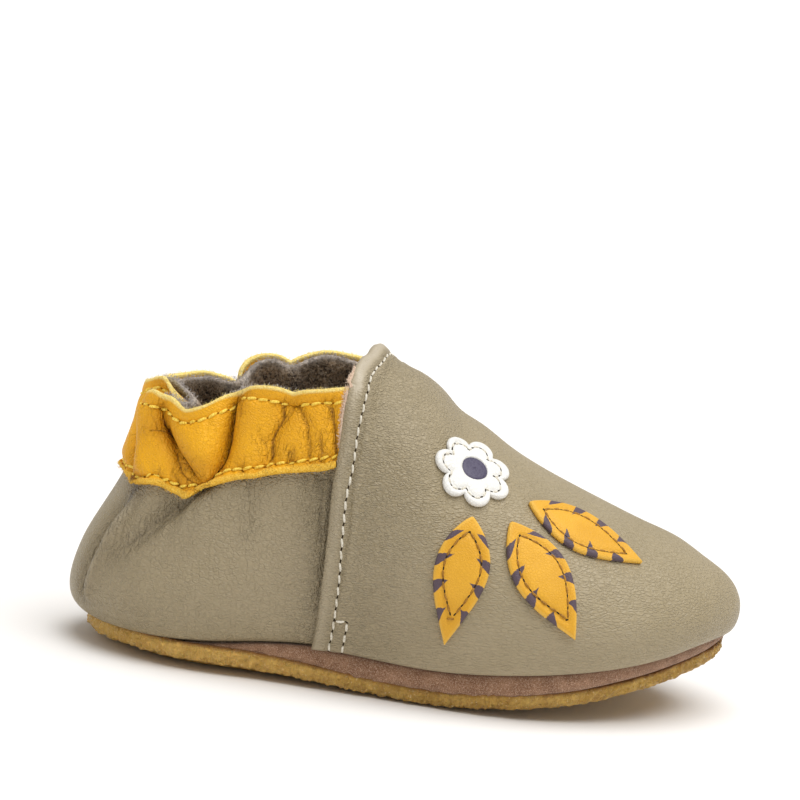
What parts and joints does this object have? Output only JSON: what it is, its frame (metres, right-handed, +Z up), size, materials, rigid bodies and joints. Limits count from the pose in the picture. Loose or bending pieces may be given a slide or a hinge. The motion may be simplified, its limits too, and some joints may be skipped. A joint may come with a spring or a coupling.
{
  "type": "baby slipper",
  "caption": "Soft leather baby slipper with a toe vamp, a gathered elastic collar cuff, leather appliqué and a thin crepe rubber sole; right shoe.",
  "frame": {"origin": "on the floor under the middle of the shoe's bounding box", "axes": "+X towards the toe, +Y towards the inner side of the foot, +Z up"},
  "size_m": [0.1316, 0.0648, 0.0658],
  "materials": {
    "crepe_rubber": "crinkled honey crepe, slightly translucent",
    "sole_suede": "brown suede, matte",
    "insole_suede": "grey brown suede, matte",
    "sage_leather": "fine grained nappa, soft sheen",
    "mustard_leather": "fine grained nappa, soft sheen",
    "white_leather": "smooth, semi matte",
    "navy_leather": "smooth, semi matte"
  },
  "bodies": {
    "root": {"outsole": "crepe_rubber", "midsole": "sole_suede", "insole": "insole_suede", "upper": "sage_leather", "vamp": "sage_leather", "cuff": "mustard_leather", "applique_leaf_upper": "mustard_leather", "applique_leaf_middle": "mustard_leather", "applique_leaf_lower": "mustard_leather", "applique_flower": "white_leather", "applique_flower_eye": "navy_leather"}
  },
  "joints": []
}
